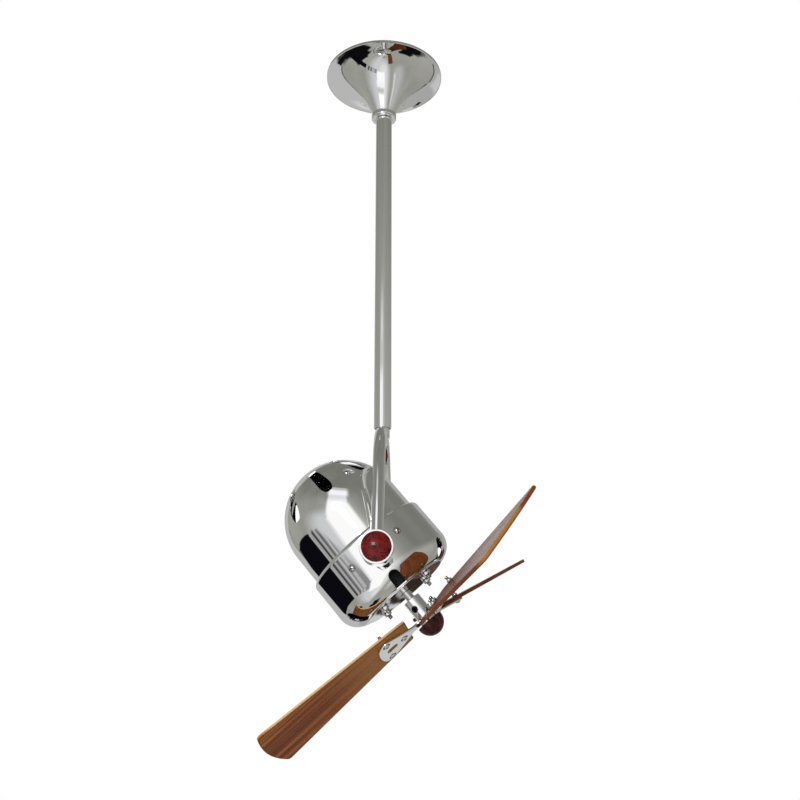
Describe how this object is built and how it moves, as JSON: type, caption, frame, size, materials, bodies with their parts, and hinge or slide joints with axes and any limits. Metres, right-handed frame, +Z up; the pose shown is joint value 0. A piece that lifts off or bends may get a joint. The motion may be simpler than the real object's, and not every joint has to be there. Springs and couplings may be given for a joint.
{
  "type": "directional ceiling fan",
  "caption": "Ceiling fan on a downrod: a trumpet canopy, a bent-tube yoke with wood-capped knobs and a drum-shaped motor head that tilts, with pitched wooden blades and a domed wooden finial.",
  "frame": {"origin": "on the ceiling plane, at the middle of the ceiling bracket's upper face", "axes": "+Z up, out of the bracket's face into the ceiling; Y along the tilt axis, with the knob that the picture shows in front at -Y; +X to the side that the fan head faces"},
  "size_m": [0.3702, 0.5233, 1.0573],
  "materials": {
    "polished_chrome": "mirror polished chrome plating on steel",
    "plated_fasteners": "bright nickel plating",
    "plated_steel": "zinc plated",
    "ground_steel": "ground",
    "laminated_steel": "stacked sheet, dull",
    "cast_aluminium": "as cast",
    "bronze": "sintered bronze",
    "copper_winding": "lacquered copper wire",
    "blade_wood": "semi-gloss varnish, mahogany colour",
    "burl_wood": "gloss lacquer, speckled red-brown burl",
    "finial_wood": "gloss lacquer, very dark red-brown",
    "white_plastic": "moulded",
    "fibre": "pressed fibre"
  },
  "bodies": {
    "ceiling": {"ceiling_bracket": "plated_steel", "hanger_bolt": "plated_steel", "hanger_nut": "plated_steel", "terminal_block": "white_plastic", "downrod": "polished_chrome", "swivel_bush": "bronze"},
    "canopy": {"canopy": "polished_chrome", "canopy_collar": "polished_chrome", "collar_set_screw": "plated_fasteners"},
    "yoke": {"yoke_socket": "polished_chrome", "swivel_nut": "plated_steel", "yoke_front_arm": "polished_chrome", "yoke_rear_arm": "polished_chrome", "knob_cup_front": "polished_chrome", "knob_cup_rear": "polished_chrome", "knob_cap_front": "burl_wood", "knob_cap_rear": "burl_wood"},
    "head": {"rear_shell": "polished_chrome", "front_shell": "polished_chrome", "front_plate": "polished_chrome", "motor_carrier": "cast_aluminium", "shell_screws": "plated_fasteners", "dome_screws": "plated_fasteners", "dome_stays": "plated_steel", "motor_front_bell": "cast_aluminium", "motor_rear_bell": "cast_aluminium", "stator_core": "laminated_steel", "stator_windings": "copper_winding", "motor_studs": "plated_fasteners", "stud_nuts_front": "plated_fasteners", "stud_nuts_rear": "plated_steel", "front_bearing": "ground_steel", "rear_bearing": "ground_steel", "capacitor": "white_plastic", "capacitor_clip": "plated_steel", "pivot_bolt_front": "plated_steel", "pivot_bolt_rear": "plated_steel", "pivot_washer_front": "fibre", "pivot_washer_rear": "fibre"},
    "rotor": {"shaft": "ground_steel", "rotor_core": "laminated_steel", "hub": "polished_chrome", "hub_set_screw": "plated_fasteners", "blade_bracket_1": "polished_chrome", "blade_bracket_2": "polished_chrome", "blade_bracket_3": "polished_chrome", "blade_1": "blade_wood", "blade_2": "blade_wood", "blade_3": "blade_wood", "blade_screws": "plated_fasteners", "blade_nuts": "plated_fasteners", "finial": "finial_wood", "finial_stud": "plated_steel"}
  },
  "joints": [
    {"name": "canopy_drop", "type": "slide", "parent": "ceiling", "child": "canopy", "axis": [0, 0, -1], "range_m": [0, 0.3]},
    {"name": "yoke_swivel", "type": "hinge", "parent": "ceiling", "child": "yoke", "pos_m": [0, 0, -0.605], "axis": [0, 0, 1], "range_deg": [-175, 175]},
    {"name": "head_tilt", "type": "hinge", "parent": "yoke", "child": "head", "pos_m": [0, 0, -0.801], "axis": [0, 1, 0], "range_deg": [-50, 130]},
    {"name": "fan_spin", "type": "hinge", "parent": "head", "child": "rotor", "pos_m": [0, 0, -0.801], "axis": [0.6428, 0, -0.766], "continuous": true}
  ]
}
